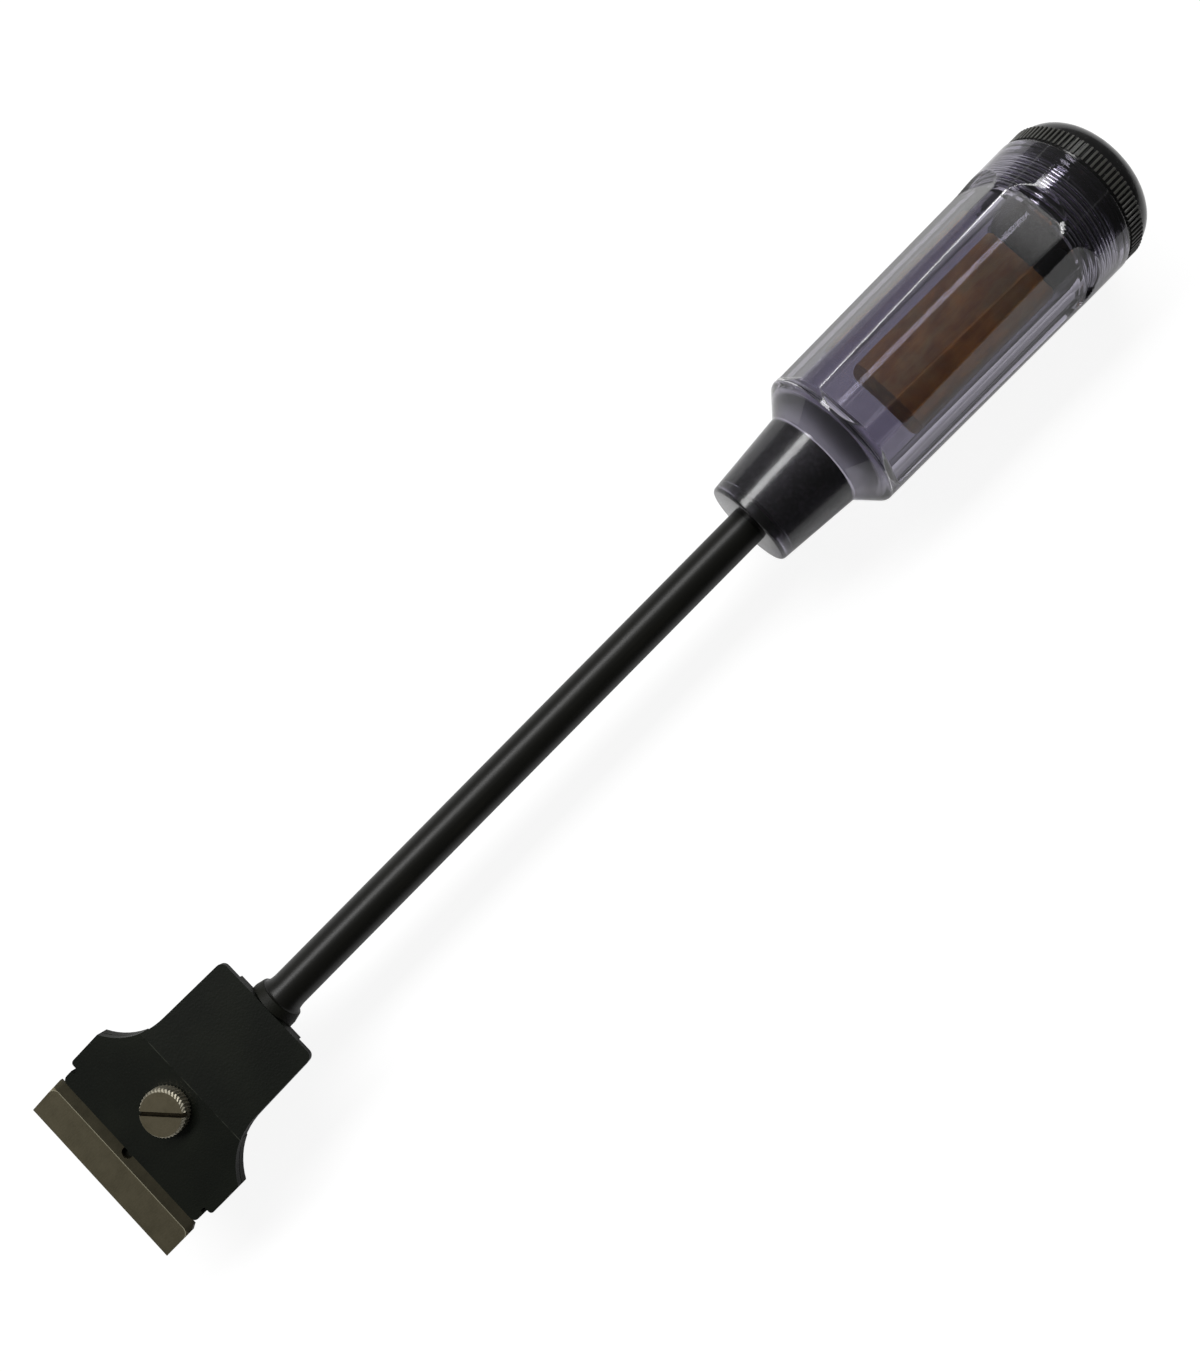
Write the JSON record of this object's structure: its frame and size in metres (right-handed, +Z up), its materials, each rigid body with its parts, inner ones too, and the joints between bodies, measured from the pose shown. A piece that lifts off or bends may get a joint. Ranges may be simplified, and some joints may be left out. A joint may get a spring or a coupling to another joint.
{
  "type": "hand scraper",
  "caption": "Hand scraper: a clamped replaceable blade in a bent black head, a long steel shaft, and a clear hollow handle that stores spare blades under a knurled screw cap.",
  "frame": {"origin": "on the plane the handle lies on, under the shaft's axis, halfway along the tool", "axes": "+X along the shaft from the blade to the cap, +Y across the blade, +Z up, out of the side that carries the clamping screw"},
  "size_m": [0.284, 0.041, 0.0336],
  "materials": {
    "blackened_steel": "satin black oxide, lightly oiled",
    "blade_steel": "ground, with a fine grain along the edge",
    "screw_steel": "turned and knurled, plated",
    "shaft_steel": "satin black oxide",
    "core_plastic": "black, seen through the clear handle",
    "clear_plastic": "clear smoky acetate, polished",
    "cap_plastic": "glossy black",
    "seal_rubber": "matt black",
    "waxed_paper": "brown waxed paper, creased"
  },
  "bodies": {
    "frame": {"shaft": "shaft_steel", "lower_jaw": "blackened_steel", "neck_core": "core_plastic", "handle": "clear_plastic"},
    "clamp": {"clamp_plate": "blackened_steel"},
    "thumbscrew": {"thumbscrew": "screw_steel"},
    "blade": {"blade": "blade_steel"},
    "cap_seal": {"cap_seal": "seal_rubber"},
    "cap": {"cap": "cap_plastic"},
    "spare_pack": {"blade_wrap": "waxed_paper", "spare_blade_1": "blade_steel", "spare_blade_2": "blade_steel", "spare_blade_3": "blade_steel", "spare_blade_4": "blade_steel", "spare_blade_5": "blade_steel"}
  },
  "joints": [
    {"name": "clamp_lift", "type": "slide", "parent": "frame", "child": "clamp", "axis": [-0.1392, 0, 0.9903], "range_m": [0, 0.004]},
    {"name": "thumbscrew_turn", "type": "hinge", "parent": "clamp", "child": "thumbscrew", "pos_m": [-0.11902, 0, 0.02094], "axis": [-0.1392, 0, 0.9903], "range_deg": [0, 1800]},
    {"name": "blade_slide", "type": "slide", "parent": "frame", "child": "blade", "axis": [-0.9903, 0, -0.1392], "range_m": [0, 0.008]},
    {"name": "seal_slide", "type": "slide", "parent": "frame", "child": "cap_seal", "axis": [1, 0, 0], "range_m": [0, 0.009]},
    {"name": "cap_turn", "type": "hinge", "parent": "cap_seal", "child": "cap", "pos_m": [0.1336, 0, 0.0168], "axis": [1, 0, 0], "range_deg": [0, 2160]},
    {"name": "spare_pack_slide", "type": "slide", "parent": "frame", "child": "spare_pack", "axis": [-1, 0, 0], "range_m": [0, 0.01]}
  ],
  "couplings": [
    {"joint": "thumbscrew_turn", "follows": "clamp_lift", "rad_per_m": 7854},
    {"joint": "seal_slide", "follows": "cap_turn", "m_per_rad": 0.00023873}
  ]
}
